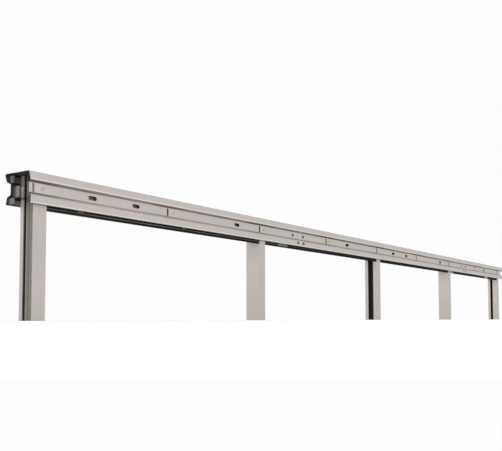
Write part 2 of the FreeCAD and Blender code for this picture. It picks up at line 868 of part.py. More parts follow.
def couplers():
    """Plugs of the bands' open ends: one in each rear band, and one in the front lower band."""
    upper = (size("coupler_high_low_z"), size("coupler_high_top_z"))
    lower = (size("coupler_low_low_z"), size("coupler_low_top_z"))
    rear = new_body("rear_band_couplers")
    coupler(rear, REAR, size("rear_coupler_start"), (24.5, 46.5), upper, "low")
    coupler(rear, REAR, size("rear_coupler_start"), (22.8, 51.3), lower, "high")
    front = new_body("front_band_coupler")
    coupler(front, FRONT, size("front_coupler_start"), (28.0, 50.8), lower, "high")


def end_tongue():
    """Upright plate in the middle of the open end, on a set-back wing from the rear web."""
    tongue = new_body("end_tongue")
    middle, heights = size("tongue_middle"), (size("tongue_low_z"), size("tongue_high_z"))
    front = size("first_slit_x") + size("tongue_start")
    back = front + size("tongue_plate")
    box_between(tongue, (front, back), (middle - size("tongue_half"), middle + size("tongue_half")), heights)
    wing = (size("tongue_wing_near"), size("web_out") - size("sheet") - 0.1)
    box_between(tongue, (back, back + size("tongue_plate")), wing, heights)


# ---------------------------------------------------------------- stops and trolleys

def stops():
    """Blocks in the track at both ends of each bay in use, each with a rubber bumper."""
    blocks = new_body("track_stops")
    bumpers = new_body("stop_bumpers")
    for bay in BAYS_IN_USE:
        left, right = bay_range(bay)
        for edge, way in ((left + 8.0, 1), (right - 8.0, -1)):
            inner = edge + size("stop_length") * way
            box_between(blocks, (edge, inner) if way > 0 else (inner, edge),
                        (-size("stop_half"), size("stop_half")), (size("stop_low_z"), size("stop_high_z")))
            sketch = new_sketch(bumpers, "YZ_Plane", inner)
            add_circle(sketch, (0.0, (size("stop_low_z") + size("stop_high_z")) / 2), size("bumper_radius"))
            pad(bumpers, sketch, size("bumper_length"), reverse=(way < 0))


def trolley_body(name, x):
    """Steel block with a neck down through the track's slot, two axle holes and the hanger's hole."""
    body = new_body(name)
    half_length, chamfer = size("trolley_length") / 2, size("trolley_chamfer")
    low, shoulder, high = size("trolley_low_z"), size("trolley_shoulder_z"), size("trolley_high_z")
    side = new_sketch(body, "XZ_Plane")
    add_polygon(side, [
        (x - half_length * 0.5, low), (x + half_length * 0.5, low), (x + half_length * 0.6, shoulder),
        (x + half_length, shoulder), (x + half_length, high - chamfer),
        (x + half_length - chamfer, high), (x - half_length + chamfer, high),
        (x - half_length, high - chamfer), (x - half_length, shoulder), (x - half_length * 0.6, shoulder),
    ])
    pad(body, side, size("trolley_half_width") * 2, symmetric=True)
    holes = new_sketch(body, "XZ_Plane")
    for way in (-1, 1):
        add_circle(holes, (x + size("axle_spacing") / 2 * way, wheel_centre_z()),
                   size("axle_radius") + 0.02)
    cut_through(body, holes, SHELL_REACH)
    bore = new_sketch(body, "XY_Plane", low - 1.0)
    add_circle(bore, (x, 0.0), size("hanger_radius") + 0.05)
    feature = body.newObject("PartDesign::Pocket", f"{name}_bore")
    feature.Profile = bore
    feature.Reversed = True
    feature.setExpression("Length", (size("hanger_high_z") + 1.5 - low).text)


def wheel_centre_z():
    return size("track_low_z") + size("track_sheet") + size("wheel_lift") + size("wheel_radius")


def turned(body, x, z, profile):
    """Turn a closed outline, given as (distance along Y, radius), about the line through x and z."""
    sketch = new_sketch(body, "YZ_Plane", x)
    add_polygon(sketch, [(y, z + radius) for y, radius in profile])
    spindle = Part.LineSegment(FreeCAD.Vector(-1, z.value, 0), FreeCAD.Vector(1, z.value, 0))
    axis = sketch.addGeometry(spindle, True)
    for which, place in ((1, -1.0), (2, 1.0)):
        pin_point(sketch, axis, which, (place, z))
    feature = body.newObject("PartDesign::Revolution", f"{body.Name}_turned")
    feature.Profile = sketch
    feature.ReferenceAxis = (sketch, ["Axis0"])
    feature.Angle = 360.0
    return feature


def axles(name, x):
    """Two axles with a small head at each end."""
    body = new_body(name)
    radius, head = size("axle_radius"), size("axle_head_radius")
    end = size("wheel_outer") + size("axle_clearance")
    tip = end + size("axle_head")
    for way in (-1, 1):
        turned(body, x + size("axle_spacing") / 2 * way, wheel_centre_z(), [
            (-tip, 0.0), (tip, 0.0), (tip, head), (end, head), (end, radius),
            (-end, radius), (-end, head), (-tip, head),
        ])


def wheel_pair(name, x):
    """The front and the rear wheel of one axle, each dished on both faces."""
    body = new_body(name)
    bore, rim, dish = size("wheel_bore_radius"), size("wheel_radius"), size("wheel_dish")
    inner, outer = size("wheel_inner"), size("wheel_outer")
    for side in (-1, 1):
        outline = [
            (inner, bore), (outer, bore), (outer, bore + 3.0), (outer - dish, bore + 3.6),
            (outer - dish, rim - 2.6), (outer, rim - 2.0), (outer, rim - 0.6), (outer - 0.6, rim),
            (inner + 0.6, rim), (inner, rim - 0.6), (inner, rim - 2.0), (inner + dish, rim - 2.6),
            (inner + dish, bore + 3.6), (inner, bore + 3.0),
        ]
        turned(body, x, wheel_centre_z(), [(y * side, radius) for y, radius in outline])


def hanger(name, x):
    """Threaded stud under the trolley, with its lock nut and washer."""
    body = new_body(name)
    stud = new_sketch(body, "XY_Plane", size("hanger_low_z"))
    add_circle(stud, (x, 0.0), size("hanger_radius"))
    pad(body, stud, size("hanger_high_z") - size("hanger_low_z"))
    nut_high = size("hanger_nut_high_z")
    nut_low = nut_high - size("hanger_nut_height")
    nut = new_sketch(body, "XY_Plane", nut_low)
    add_hexagon(nut, (x, 0.0), size("hanger_nut_radius") * 1.1547)
    pad(body, nut, size("hanger_nut_height"))
    washer = new_sketch(body, "XY_Plane", nut_high)
    add_circle(washer, (x, 0.0), size("washer_radius"))
    pad(body, washer, size("washer_height"))


def trolleys():
    for number, place in enumerate(TROLLEY_PITCHES, start=1):
        x = along(place)
        trolley_body(f"trolley_{number}_body", x)
        axles(f"trolley_{number}_axles", x)
        wheel_pair(f"trolley_{number}_wheels_left", x - size("axle_spacing") / 2)
        wheel_pair(f"trolley_{number}_wheels_right", x + size("axle_spacing") / 2)
        hanger(f"trolley_{number}_hanger", x)


# ---------------------------------------------------------------- check and write

def check_document():
    for item in doc.Objects:
        faults = [state for state in item.State if state in ("Invalid", "Error")]
        if faults:
            raise RuntimeError(f"{item.Name}: {faults} {item.getStatusString()}")
    for body in parts:
        if body.Shape.isNull() or not body.Shape.isValid() or not body.Shape.Solids:
            raise RuntimeError(f"{body.Label}: bad shape")


def write_parts():
    os.makedirs("parts", exist_ok=True)
    for body in parts:
        body.Shape.exportStep(f"parts/{body.Label}.step")
        box = body.Shape.BoundBox
        reach = [f"{low:9.1f} {high:8.1f}" for low, high in (
            (box.XMin, box.XMax), (box.YMin, box.YMax), (box.ZMin, box.ZMax))]
        solids, volume = len(body.Shape.Solids), body.Shape.Volume
        print(f"{body.Label:26s} solids {solids:2d}  volume {volume:11.0f}", *reach)


make_sheet()
shells()
fixing_screws()
splices()
posts()
tracks()
yokes()
track_screws()
saddles()
seals()
seal_clips()
couplers()
end_tongue()
stops()
trolleys()
doc.recompute()
check_document()
write_parts()
print(len(parts), "nodes")
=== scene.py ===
"""Looks, light and camera for the sliding-door header. Lengths here are metres."""
import bpy
import math
from mathutils import Matrix, Vector

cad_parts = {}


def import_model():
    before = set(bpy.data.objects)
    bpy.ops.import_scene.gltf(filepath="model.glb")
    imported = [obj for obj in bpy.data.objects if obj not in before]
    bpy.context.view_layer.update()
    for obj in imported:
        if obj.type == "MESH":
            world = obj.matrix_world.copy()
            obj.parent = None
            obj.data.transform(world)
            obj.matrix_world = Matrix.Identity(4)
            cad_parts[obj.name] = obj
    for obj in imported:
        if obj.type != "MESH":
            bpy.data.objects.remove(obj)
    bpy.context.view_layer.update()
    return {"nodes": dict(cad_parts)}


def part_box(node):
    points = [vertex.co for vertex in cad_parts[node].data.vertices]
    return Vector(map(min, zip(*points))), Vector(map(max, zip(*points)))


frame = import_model()

# ---------------------------------------------------------------- places on the part

# an upright stands just right of every second slit, so the five of them span eight pitches
FIRST_POST_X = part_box("post_1_front_stud")[0].x
LAST_POST_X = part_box("post_5_front_stud")[0].x
PITCH = (LAST_POST_X - FIRST_POST_X) / 8
FIRST_SLIT_X = FIRST_POST_X - 0.003
AFTER_FIRST_POST_X = FIRST_POST_X + 0.1

# front joints, in pitches from the first slit
FRONT_JOINTS = (2.573, 6.573)

# heights of the shells' folds, and of the middle of the slits in their webs
SHELL_LOW, SHELL_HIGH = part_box("front_shell_middle")
LIP_Z = SHELL_LOW.z
LOWER_BAND_Z = LIP_Z + 0.026
WEB_LOW_Z = LIP_Z + 0.0356
WEB_HIGH_Z = LIP_Z + 0.0716
TOP_BAND_Z = LIP_Z + 0.0786
ROOF_Z = SHELL_HIGH.z - 0.001
SLIT_Z = (WEB_LOW_Z + WEB_HIGH_Z) / 2
LIP_MARGIN = 0.0002

# distances out from the middle plane
WEB_SKIN = 0.0427
BAND_STEP = 0.010
LIP_RETURN = 0.0500
POST_FACE = 0.0405
TRACK_FLANK = 0.0225

# the open channel of the first upright, and the seam beside the door channel on its rear stud
RECESS_LEFT_X, RECESS_RIGHT_X = FIRST_POST_X - 0.0004, FIRST_POST_X + 0.0486
RECESS_FRONT_Y, RECESS_BACK_Y = -0.0397, -0.0010
REAR_STUD_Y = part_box("post_1_rear_stud")[0].y
REAR_STUD_CLEAN_Y = REAR_STUD_Y + 0.0022

# painted shade and pads beside a slit, as distances right of its middle
SLIT_EDGE, SLIT_SHADE_END = 0.0032, 0.0082
PAD_START, PAD_FADE, PAD_CLEAR, PAD_END = 0.004, 0.030, 0.066, 0.070

# heights between which painted light makes the uprights' side walls paler, slowly and then quickly
SIDE_LIGHT_START_Z, SIDE_LIGHT_NEAR_Z, SIDE_LIGHT_FULL_Z = 0.100, 0.330, 0.375

TONGUE_WING_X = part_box("end_tongue")[0].x + 0.0029
SEAL_BEAD_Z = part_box("seal_carriers")[0].z
BRUSH_LOW_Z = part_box("seal_brushes")[0].z

# the camera's place in metres, its turn in radians, and its lens in millimetres
CAMERA_PLACE = (-3.6257, -1.8730, 0.0043)
CAMERA_YAW, CAMERA_PITCH, CAMERA_ROLL = 0.6734, 0.0510, -0.0013
SENSOR_WIDTH = 36.0
LENS = 44.46215
LENS_SHIFT = 0.1237052

# ---------------------------------------------------------------- palette, as linear colours

STEEL_WARM = (0.486, 0.446, 0.416)
STEEL_PINK = (0.494, 0.436, 0.412)
STEEL_GREEN = (0.468, 0.450, 0.410)
STEEL_GRAIN = (0.330, 0.300, 0.280)
STEEL_SPECK = (0.250, 0.220, 0.200)
STEEL_SHADE = (0.038, 0.036, 0.030)
STEEL_PAD = (0.520, 0.470, 0.398)
# painted highlight and painted light on the steel
STEEL_PAINTED_LIGHT = (0.680, 0.650, 0.620)
# painted shade in the folds and beside the slits
PAINTED_SHADE_BROWN = (0.080, 0.064, 0.054)
ZINC = (0.40, 0.39, 0.37)
ZINC_DARK = (0.22, 0.21, 0.20)
ALUMINIUM = (0.42, 0.42, 0.42)
ALUMINIUM_DARK = (0.25, 0.25, 0.25)
ALUMINIUM_DULL = (0.36, 0.35, 0.33)
PLASTIC_BLACK = (0.024, 0.024, 0.018)
PLASTIC_BLACK_WORN = (0.036, 0.036, 0.029)
SEAL_DARK = (0.003, 0.003, 0.003)
# painted highlight along the seal's bead
SEAL_HIGHLIGHT = (0.135, 0.128, 0.115)
BRUSH_DARK = (0.004, 0.004, 0.003)
BRUSH_TIP = (0.010, 0.009, 0.007)
BRUSH_DUST = (0.080, 0.074, 0.064)
CLIP_DARK = (0.085, 0.080, 0.072)
CLIP_BRIGHT = (0.420, 0.400, 0.370)
CLIP_SPOT = (0.050, 0.047, 0.042)
SCREW_LIGHT = (0.44, 0.40, 0.35)
SCREW_LIGHT_DIRT = (0.30, 0.27, 0.23)
SCREW_DARK = (0.034, 0.030, 0.026)
SCREW_DARK_DUST = (0.10, 0.09, 0.08)
NYLON = (0.72, 0.70, 0.63)
NYLON_WORN = (0.45, 0.43, 0.38)
RUBBER = (0.02, 0.02, 0.02)
RUBBER_WORN = (0.04, 0.04, 0.04)
COUPLER_GREY = (0.110, 0.107, 0.098)
# painted light on the palest coupler, and painted shade and scuffs on the darkest
COUPLER_PAINTED_LIGHT = (0.190, 0.185, 0.170)
COUPLER_SHADE_AND_SCUFF = (0.050, 0.048, 0.043)
TONGUE_GREY = (0.170, 0.165, 0.152)
TONGUE_LINES = (0.100, 0.096, 0.088)
# painted shade on the tongue's set-back wing
TONGUE_WING_SHADE = (0.050, 0.045, 0.040)
FLOOR_WHITE = (0.970, 0.970, 0.970)
FLOOR_CLOUD = (0.955, 0.955, 0.955)


# ---------------------------------------------------------------- shader building helpers

class Tree:
    """Thin wrapper that keeps shader recipes short."""

    def __init__(self, name):
        self.material = bpy.data.materials.new(name)
        self.material.use_nodes = True
        self.nodes = self.material.node_tree.nodes
        self.links = self.material.node_tree.links
        self.nodes.clear()
        self.output = self.nodes.new("ShaderNodeOutputMaterial")
        self.surface = self.nodes.new("ShaderNodeBsdfPrincipled")
        self.links.new(self.surface.outputs["BSDF"], self.output.inputs["Surface"])
        self.place = self.nodes.new("ShaderNodeTexCoord").outputs["Object"]
        split = self.nodes.new("ShaderNodeSeparateXYZ")
        self.links.new(self.place, split.inputs[0])
        self.x, self.y, self.z = split.outputs

    def feed(self, socket, value):
        """Link a socket, or set a number straight on the input."""
        if isinstance(value, bpy.types.NodeSocket):
            self.links.new(value, socket)
        elif isinstance(value, tuple):
            socket.default_value = (*value, 1.0)
        else:
            socket.default_value = value

    def math(self, operation, first, second=0.0):
        node = self.nodes.new("ShaderNodeMath")
        node.operation = operation
        self.feed(node.inputs[0], first)
        self.feed(node.inputs[1], second)
        return node.outputs[0]

    def times(self, first, second):
        return self.math("MULTIPLY", first, second)

    def plus(self, first, second):
        return self.math("ADD", first, second)

    def most(self, first, second):
        return self.math("MAXIMUM", first, second)

    def above(self, value, limit):
        return self.math("GREATER_THAN", value, limit)

    def below(self, value, limit):
        return self.math("LESS_THAN", value, limit)

    def between(self, value, low, high):
        """1 inside the two limits, 0 outside."""
        return self.times(self.above(value, low), self.below(value, high))

    def ramp(self, value, low, high, to_low=0.0, to_high=1.0):
        """Map a value linearly between two limits and clamp it."""
        node = self.nodes.new("ShaderNodeMapRange")
        for socket, number in zip(node.inputs[:5], (value, low, high, to_low, to_high)):
            self.feed(socket, number)
        return node.outputs[0]

    def mix(self, factor, first, second):
        node = self.nodes.new("ShaderNodeMix")
        node.data_type = "RGBA"
        self.feed(node.inputs["Factor"], factor)
        self.feed(node.inputs[6], first)
        self.feed(node.inputs[7], second)
        return node.outputs[2]

    def stretched(self, scale):
        """Object coordinates scaled apart along the three axes."""
        node = self.nodes.new("ShaderNodeMapping")
        self.links.new(self.place, node.inputs["Vector"])
        node.inputs["Scale"].default_value = scale
        return node.outputs[0]

    def noise(self, scale, detail=3.0, rough=0.5):
        node = self.nodes.new("ShaderNodeTexNoise")
        self.links.new(self.stretched(scale), node.inputs["Vector"])
        node.inputs["Scale"].default_value = 1.0
        node.inputs["Detail"].default_value = detail
        node.inputs["Roughness"].default_value = rough
        return node.outputs[0]

    def bump(self, height, distance, strength=1.0):
        node = self.nodes.new("ShaderNodeBump")
        node.inputs["Strength"].default_value = strength
        node.inputs["Distance"].default_value = distance
        self.links.new(height, node.inputs["Height"])
        self.links.new(node.outputs[0], self.surface.inputs["Normal"])

    def finish(self, colour, roughness, metallic=0.0, specular=0.5):
        self.feed(self.surface.inputs["Base Color"], colour)
        self.feed(self.surface.inputs["Roughness"], roughness)
        self.feed(self.surface.inputs["Metallic"], metallic)
        self.feed(self.surface.inputs["Specular IOR Level"], specular)
        return self.material


# ---------------------------------------------------------------- satin steel

def satin_steel(tree, grain_scale, shade, marks):
    """Mottled satin steel. shade is painted shade: 0 where the sheet keeps its own colour and 1 where it
    is painted fully dark, as on the shells' inner side.
    """
    broad = tree.ramp(tree.noise((5.0, 14.0, 14.0), 2.0), 0.36, 0.64)
    patches = tree.ramp(tree.noise((19.0, 60.0, 60.0), 3.0), 0.36, 0.64)
    tint = tree.mix(broad, STEEL_PINK, STEEL_GREEN)
    colour = tree.mix(tree.times(patches, 0.65), tint, STEEL_WARM)
    grain = tree.noise(grain_scale, 4.0, 0.65)
    grained = tree.mix(tree.ramp(grain, 0.30, 0.70, 0.0, 0.16), colour, STEEL_GRAIN)
    specks = tree.ramp(tree.noise((420.0, 420.0, 420.0), 2.0), 0.68, 0.76, 0.0, 0.35)
    marked = marks(tree.mix(specks, grained, STEEL_SPECK))
    final = tree.mix(shade, marked, STEEL_SHADE)
    rough = tree.ramp(grain, 0.25, 0.75, 0.42, 0.60)
    worn = tree.plus(rough, tree.ramp(broad, 0.0, 1.0, -0.03, 0.05))
    tree.bump(grain, 0.00012, 0.6)
    return tree.finish(final, worn, metallic=0.25, specular=0.35)


# ---------------------------------------------------------------- header shells

def past_slit(tree):
    """Distance along X past the last slit."""
    shifted = tree.math("SUBTRACT", tree.x, FIRST_SLIT_X)
    return tree.math("FLOORED_MODULO", shifted, PITCH)


def from_slit(tree):
    """Distance along X from the nearest slit, negative on its left."""
    shifted = tree.plus(tree.math("SUBTRACT", tree.x, FIRST_SLIT_X), PITCH / 2)
    return tree.math("SUBTRACT", tree.math("FLOORED_MODULO", shifted, PITCH), PITCH / 2)


def slit_pads(tree, colour):
    """A yellower pad right of every slit, where the fixing is clamped, fading to the right."""
    past = past_slit(tree)
    height = tree.between(tree.z, WEB_LOW_Z + 0.0015, WEB_HIGH_Z - 0.0010)
    pad = tree.times(tree.between(past, PAD_START, PAD_END), height)
    fading = tree.ramp(past, PAD_FADE, PAD_CLEAR, 0.75, 0.0)
    return tree.mix(tree.times(pad, fading), colour, STEEL_PAD)


def slit_edge_shade(tree, colour):
    """Painted shade along the right edge of every slit, heavier from the second slit on."""
    edge = tree.between(from_slit(tree), SLIT_EDGE, SLIT_SHADE_END)
    shaded_edge = tree.times(edge, tree.between(tree.z, SLIT_Z - 0.0130, SLIT_Z + 0.0130))
    heavy = tree.ramp(tree.x, FIRST_SLIT_X + PITCH * 0.6, FIRST_SLIT_X + PITCH * 1.4, 0.10, 0.75)
    return tree.mix(tree.times(shaded_edge, heavy), colour, PAINTED_SHADE_BROWN)


def fold_shade_amount(tree):
    """How much painted shade the folds get: patchy, more at the left end, near every slit and to the
    right.
    """
    patchy = tree.ramp(tree.noise((9.0, 40.0, 40.0), 3.0), 0.32, 0.66, 0.10, -0.12)
    right = tree.ramp(tree.x, FIRST_SLIT_X + PITCH * 0.6, FIRST_SLIT_X + PITCH * 2.2, 0.46, 0.72)
    left = tree.ramp(tree.x, FIRST_SLIT_X + 0.05, FIRST_SLIT_X + 0.30, 0.20, 0.0)
    slits = tree.ramp(tree.math("ABSOLUTE", from_slit(tree)), 0.048, 0.120, 0.24, 0.0)
    return tree.plus(tree.plus(tree.plus(right, left), slits), patchy)


def fold_shade(tree, colour):
    """Painted shade in the fold above the web, and a thin line of painted shade along the fold below it.
    """
    amount = fold_shade_amount(tree)
    core = tree.ramp(tree.z, WEB_HIGH_Z + 0.0035, WEB_HIGH_Z + 0.0015, 0.0, 0.20)
    fold = tree.between(tree.z, WEB_HIGH_Z, TOP_BAND_Z)
    upper = tree.times(fold, tree.plus(amount, core))
    fold_shaded = tree.mix(upper, colour, PAINTED_SHADE_BROWN)
    fading = tree.ramp(tree.z, WEB_LOW_Z + 0.0005, WEB_LOW_Z + 0.0040, 1.0, 0.0)
    line = tree.times(tree.above(tree.z, WEB_LOW_Z - 0.0038), fading)
    end = tree.ramp(tree.x, FIRST_SLIT_X + 0.10, FIRST_SLIT_X + 0.50, 1.20, 0.88)
    lower = tree.times(line, tree.times(amount, end))
    return tree.mix(lower, fold_shaded, PAINTED_SHADE_BROWN)


def edge_highlights(tree, colour):
    """Painted highlight along the lowest few millimetres of both bands, and beside the front joints."""
    low_rim = tree.between(tree.z, LIP_Z - 0.0010, LIP_Z + 0.0050)
    high_rim = tree.between(tree.z, TOP_BAND_Z, TOP_BAND_Z + 0.0045)
    highlight = tree.times(tree.plus(low_rim, high_rim), 0.80)
    front = tree.below(tree.y, 0.0)
    for joint in FRONT_JOINTS:
        middle = FIRST_SLIT_X + PITCH * joint
        beside = tree.times(tree.between(tree.x, middle - 0.003, middle + 0.003), front)
        highlight = tree.most(highlight, tree.times(beside, 0.70))
    return tree.mix(highlight, colour, STEEL_PAINTED_LIGHT)


def inner_side(tree):
    """1 on the shells' inner faces and on the cut edges, which lie inside the outer skin, and under the
    lip; painted shade goes there.
    """
    out = tree.math("ABSOLUTE", tree.y)
    upper = tree.ramp(tree.z, WEB_HIGH_Z, TOP_BAND_Z, 0.0, BAND_STEP)
    lower = tree.ramp(tree.z, LOWER_BAND_Z, WEB_LOW_Z, BAND_STEP, 0.0)
    cuts = tree.times(tree.above(tree.x, FIRST_SLIT_X - 0.010), 0.0011)
    skin = tree.plus(tree.plus(upper, lower), tree.plus(cuts, WEB_SKIN))
    inward = tree.times(tree.below(out, skin), tree.between(tree.z, LIP_Z + LIP_MARGIN, ROOF_Z))
    under_lip = tree.times(tree.below(tree.z, LIP_Z + LIP_MARGIN), tree.below(out, LIP_RETURN))
    return tree.most(inward, under_lip)


def shell_steel():
    """Header shells: grain runs along X, with painted shade on the inner faces and cut edges."""
    tree = Tree("shell_steel")

    def marks(colour):
        return edge_highlights(tree, fold_shade(tree, slit_edge_shade(tree, slit_pads(tree, colour))))

    return satin_steel(tree, (5.0, 900.0, 900.0), tree.times(inner_side(tree), 0.97), marks)


# ---------------------------------------------------------------- uprights

def first_recess(tree):
    """1 inside the open channel of the first upright."""
    inside_x = tree.between(tree.x, RECESS_LEFT_X, RECESS_RIGHT_X)
    return tree.times(inside_x, tree.between(tree.y, RECESS_FRONT_Y, RECESS_BACK_Y))


def rear_of_first(tree, nearest_y):
    """1 on the first upright's rear stud, farther back than the given place."""
    return tree.times(tree.above(tree.y, nearest_y), tree.below(tree.x, AFTER_FIRST_POST_X))


def recess_shade(tree):
    """Shade inside the open channel: upright ribs, one groove, and darker up behind the bands."""
    ribs = tree.ramp(tree.noise((160.0, 160.0, 1.0), 2.0), 0.30, 0.70, 0.0, 0.16)
    from_groove = tree.math("ABSOLUTE", tree.math("SUBTRACT", tree.x, FIRST_POST_X + 0.0085))
    groove = tree.ramp(from_groove, 0.0015, 0.0050, 0.20, 0.02)
    lighter = tree.ramp(tree.x, FIRST_POST_X, FIRST_POST_X + 0.022, 0.02, -0.12)
    open_part = tree.plus(ribs, tree.plus(groove, lighter))
    top_band = tree.ramp(tree.z, WEB_HIGH_Z + 0.0020, TOP_BAND_Z + 0.0030, 0.0, 0.62)
    low_height = tree.between(tree.z, LIP_Z + 0.0066, WEB_LOW_Z + 0.0080)
    low_band = tree.times(low_height, tree.above(tree.x, FIRST_POST_X + 0.0095))
    banded = tree.most(top_band, tree.times(low_band, 0.70))
    return tree.times(first_recess(tree), tree.most(open_part, banded))


def rear_stud_shade(tree):
    """Dark seam beside the door channel, and two lines of painted shade at the heights of the shell's
    folds.
    """
    beside = tree.between(tree.y, REAR_STUD_Y, REAR_STUD_CLEAN_Y)
    seam = tree.times(tree.times(beside, tree.below(tree.x, AFTER_FIRST_POST_X)), 0.85)
    low_fold = tree.times(tree.between(tree.z, LOWER_BAND_Z - 0.0039, LOWER_BAND_Z + 0.0041), 0.55)
    high_fold = tree.times(tree.between(tree.z, WEB_HIGH_Z - 0.0045, WEB_HIGH_Z + 0.0020), 0.35)
    folds = tree.times(rear_of_first(tree, REAR_STUD_Y - 0.0002), tree.plus(low_fold, high_fold))
    return tree.most(seam, folds)


def painted_light_on_sides(tree):
    """Painted light on the side walls of the other uprights, paler towards the header."""
    slow = tree.ramp(tree.z, SIDE_LIGHT_START_Z, SIDE_LIGHT_NEAR_Z, 0.04, 0.36)
    quick = tree.ramp(tree.z, SIDE_LIGHT_NEAR_Z, SIDE_LIGHT_FULL_Z, 0.0, 0.50)
    higher = tree.plus(slow, quick)
    sides = tree.between(tree.y, -POST_FACE, POST_FACE)
    others = tree.above(tree.x, AFTER_FIRST_POST_X)
    return tree.times(tree.times(sides, others), higher)


def painted_light_places(tree):
    """Painted light on the right part of the open channel, and on the rear stud's length behind the
    shell's web.
    """
    right = tree.ramp(tree.x, FIRST_POST_X + 0.0115, FIRST_POST_X + 0.0200, 0.0, 0.85)
    channel = tree.times(first_recess(tree), right)
    rising = tree.ramp(tree.z, LIP_Z - 0.0004, LIP_Z + 0.0186)
    falling = tree.ramp(tree.z, SLIT_Z, WEB_HIGH_Z + 0.0020, 1.0, 0.0)
    behind_web = tree.math("MINIMUM", rising, falling)
    stud = tree.times(rear_of_first(tree, REAR_STUD_CLEAN_Y), behind_web)
    return tree.most(channel, stud)


def post_steel():
    """Uprights: grain runs along Z, with fine streaks left by rolling."""
    tree = Tree("post_steel")

    def marks(colour):
        fine = tree.ramp(tree.noise((190.0, 190.0, 1.2), 3.0, 0.6), 0.36, 0.64, 0.0, 0.20)
        streaked = tree.mix(fine, colour, STEEL_GRAIN)
        # painted light on the open channel, the rear stud and the high side walls
        return tree.mix(tree.most(painted_light_places(tree), painted_light_on_sides(tree)), streaked, STEEL_PAINTED_LIGHT)

    # painted shade in the first upright's channel and on its rear stud
    shade = tree.most(recess_shade(tree), rear_stud_shade(tree))
    return satin_steel(tree, (900.0, 900.0, 5.0), shade, marks)


# ---------------------------------------------------------------- metal inside the header

def inner_steel(name, colour, dark):
    """Zinc-plated pieces inside the header and the trolleys, with a spangled plating."""
    tree = Tree(name)
    spangle = tree.nodes.new("ShaderNodeTexVoronoi")
    tree.links.new(tree.stretched((160.0, 160.0, 160.0)), spangle.inputs["Vector"])
    spangle.inputs["Scale"].default_value = 1.0
    tone = tree.ramp(spangle.outputs["Distance"], 0.1, 0.8)
    smudge = tree.noise((30.0, 30.0, 30.0), 4.0)
    plated = tree.mix(tree.times(tone, 0.6), colour, dark)
    dirty = tree.mix(tree.ramp(smudge, 0.5, 0.75, 0.0, 0.5), plated, dark)
    tree.bump(smudge, 0.00006, 0.5)
    return tree.finish(dirty, tree.ramp(tone, 0.0, 1.0, 0.32, 0.52), metallic=0.85)


def screw_steel(name, colour, dark):
    """Screws: fine grain on the heads and a little grime round them."""
    tree = Tree(name)
    fine = tree.noise((900.0, 900.0, 900.0), 3.0)
    smudge = tree.noise((120.0, 120.0, 120.0), 2.0)
    mixed = tree.mix(tree.ramp(smudge, 0.35, 0.65), colour, dark)
    tree.bump(fine, 0.00005, 0.7)
    return tree.finish(mixed, tree.ramp(fine, 0.3, 0.7, 0.30, 0.55), metallic=0.6)


def track_aluminium():
    """Drawn section: die lines along X, and dulled outer flanks."""
    tree = Tree("track_aluminium")
    lines = tree.noise((2.0, 1400.0, 1400.0), 4.0, 0.7)
    dust = tree.noise((14.0, 40.0, 40.0), 3.0)
    lined = tree.mix(tree.ramp(lines, 0.35, 0.65, 0.0, 0.4), ALUMINIUM, ALUMINIUM_DARK)
    dusty = tree.mix(tree.ramp(dust, 0.5, 0.8, 0.0, 0.4), lined, ALUMINIUM_DARK)
    flank = tree.above(tree.math("ABSOLUTE", tree.y), TRACK_FLANK)
    dulled = tree.mix(flank, dusty, ALUMINIUM_DULL)
    tree.bump(lines, 0.00008, 0.6)
    metallic = tree.ramp(flank, 0.0, 1.0, 0.8, 0.0)
    return tree.finish(dulled, tree.ramp(lines, 0.3, 0.7, 0.30, 0.48), metallic=metallic)


def clip_steel():
    """Clips of the seal: brighter towards the right of the header."""
    tree = Tree("clip_steel")
    along = tree.ramp(tree.x, -2.0, 2.0)
    fine = tree.noise((400.0, 400.0, 60.0), 3.0)
    base = tree.mix(along, CLIP_DARK, CLIP_BRIGHT)
    spotted = tree.mix(tree.ramp(fine, 0.35, 0.65, 0.0, 0.5), base, CLIP_SPOT)
    tree.bump(fine, 0.00008, 0.6)
    return tree.finish(spotted, tree.ramp(fine, 0.3, 0.7, 0.4, 0.6), metallic=0.4)


def tongue_plate():
    """Dull plate of the open end, with painted shade on its set-back wing."""
    tree = Tree("tongue_aluminium")
    lines = tree.noise((300.0, 300.0, 4.0), 3.0, 0.6)
    shaded_wing = tree.above(tree.x, TONGUE_WING_X)
    plate = tree.mix(tree.ramp(lines, 0.35, 0.65, 0.0, 0.4), TONGUE_GREY, TONGUE_LINES)
    colour = tree.mix(shaded_wing, plate, TONGUE_WING_SHADE)
    tree.bump(lines, 0.00008, 0.6)
    return tree.finish(colour, tree.ramp(lines, 0.3, 0.7, 0.40, 0.60), metallic=0.3)


# ---------------------------------------------------------------- plastic and rubber

def moulded(name, colour, worn, scale, roughness):
    """Matt plastic with a fine texture and scuffed patches."""
    tree = Tree(name)
    texture = tree.noise(scale, 3.0)
    scuffs = tree.noise((24.0, 24.0, 9.0), 4.0, 0.6)
    colour = tree.mix(tree.ramp(scuffs, 0.45, 0.70), colour, worn)
    tree.bump(texture, 0.00008, 0.6)
    rough = tree.ramp(scuffs, 0.3, 0.7, roughness - 0.08, roughness + 0.10)
    return tree.finish(colour, rough, specular=0.3)


